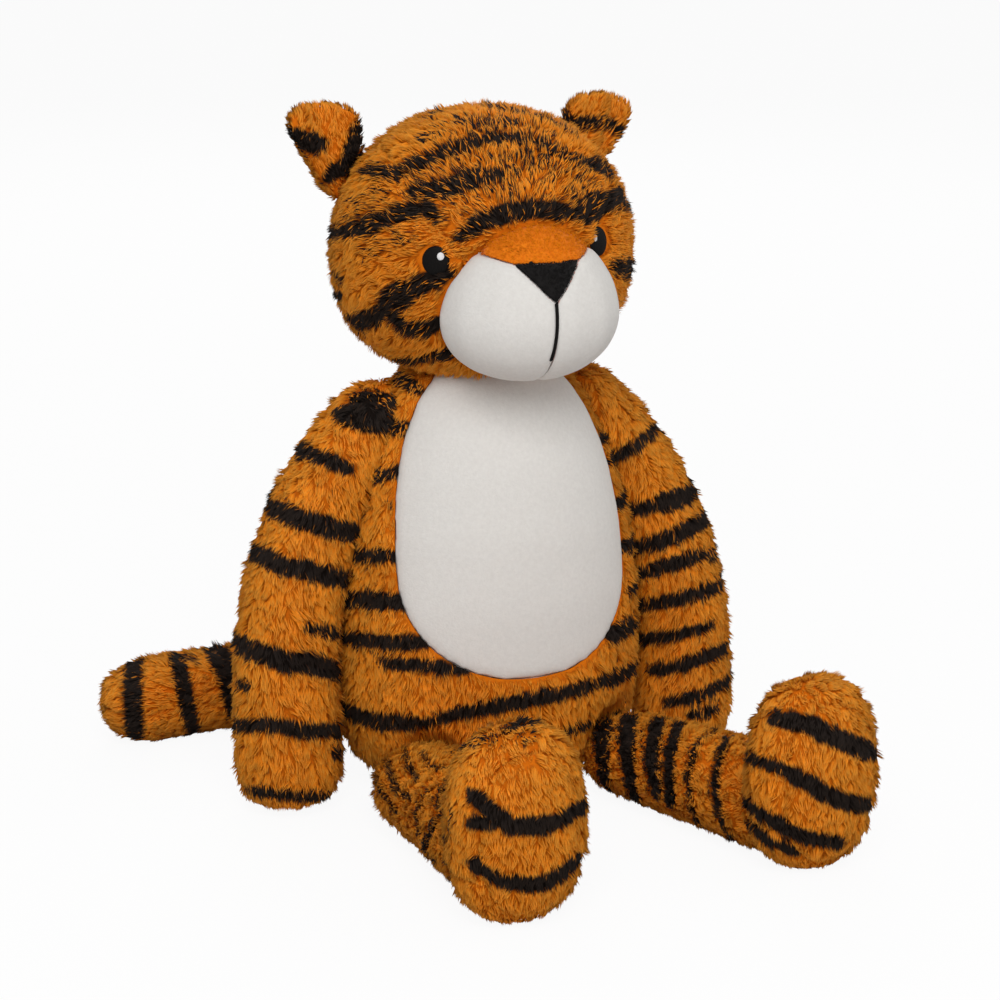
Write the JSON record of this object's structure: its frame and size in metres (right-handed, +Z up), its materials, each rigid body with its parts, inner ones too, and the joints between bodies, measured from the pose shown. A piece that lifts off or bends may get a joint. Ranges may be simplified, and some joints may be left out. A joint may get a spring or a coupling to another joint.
{
  "type": "seated plush tiger",
  "caption": "Seated plush tiger: sewn fur covers over fibre stuffing, with a head that nods and arms, legs and a tail that swing at their seams.",
  "frame": {"origin": "on the surface that the tiger sits on, under the middle of its torso", "axes": "+Z up; the tiger faces -Y, and +X is towards its left arm"},
  "size_m": [0.3603, 0.4141, 0.4136],
  "materials": {
    "fur": "long soft pile, orange with near-black stripes",
    "white_plush": "short soft white pile",
    "bridge_plush": "very short smooth orange pile",
    "nose_plush": "very short near-black pile",
    "black_thread": "satin stitch",
    "white_thread": "satin stitch",
    "fibre_stuffing": "loose polyester fibre"
  },
  "bodies": {
    "torso": {"torso_front_cover": "fur", "torso_back_cover": "fur", "belly_panel": "white_plush", "torso_stuffing": "fibre_stuffing"},
    "head": {"forehead_gusset": "fur", "head_right_panel": "fur", "head_left_panel": "fur", "head_stuffing": "fibre_stuffing", "nose_bridge": "bridge_plush", "nose_panel": "nose_plush", "muzzle_right_panel": "white_plush", "muzzle_left_panel": "white_plush", "muzzle_stuffing": "fibre_stuffing", "mouth_stitch": "black_thread", "right_eye": "black_thread", "right_eye_glint": "white_thread", "right_ear_front": "fur", "right_ear_back": "fur", "left_eye": "black_thread", "left_eye_glint": "white_thread", "left_ear_front": "fur", "left_ear_back": "fur"},
    "right_arm": {"right_arm_front_panel": "fur", "right_arm_back_panel": "fur", "right_arm_stuffing": "fibre_stuffing"},
    "right_leg": {"right_leg_upper_panel": "fur", "right_leg_lower_panel": "fur", "right_sole": "fur", "right_leg_stuffing": "fibre_stuffing"},
    "left_arm": {"left_arm_front_panel": "fur", "left_arm_back_panel": "fur", "left_arm_stuffing": "fibre_stuffing"},
    "left_leg": {"left_leg_upper_panel": "fur", "left_leg_lower_panel": "fur", "left_sole": "fur", "left_leg_stuffing": "fibre_stuffing"},
    "tail": {"tail_lower_panel": "fur", "tail_upper_panel": "fur", "tail_stuffing": "fibre_stuffing"}
  },
  "joints": [
    {"name": "head_nod", "type": "hinge", "parent": "torso", "child": "head", "pos_m": [0, 0, 0.194], "axis": [0.999, -0.0436, 0], "range_deg": [-12, 15], "stiffness_Nm_per_rad": 2},
    {"name": "left_arm_lift", "type": "hinge", "parent": "torso", "child": "left_arm", "pos_m": [0.0553, 0, 0.245], "axis": [0, -1, 0], "range_deg": [0, 55]},
    {"name": "right_arm_lift", "type": "hinge", "parent": "torso", "child": "right_arm", "pos_m": [-0.0553, 0, 0.245], "axis": [0, 1, 0], "range_deg": [0, 55]},
    {"name": "left_leg_swing", "type": "hinge", "parent": "torso", "child": "left_leg", "pos_m": [0.068, -0.074, 0.0315], "axis": [-0.9664, -0.2571, 0], "range_deg": [-20, 32]},
    {"name": "right_leg_swing", "type": "hinge", "parent": "torso", "child": "right_leg", "pos_m": [-0.068, -0.074, 0.0315], "axis": [-0.9981, 0.062, 0], "range_deg": [-20, 32]},
    {"name": "tail_swing", "type": "hinge", "parent": "torso", "child": "tail", "pos_m": [0, 0.084, 0.0245], "axis": [0, 0, 1], "range_deg": [-90, 0]}
  ]
}
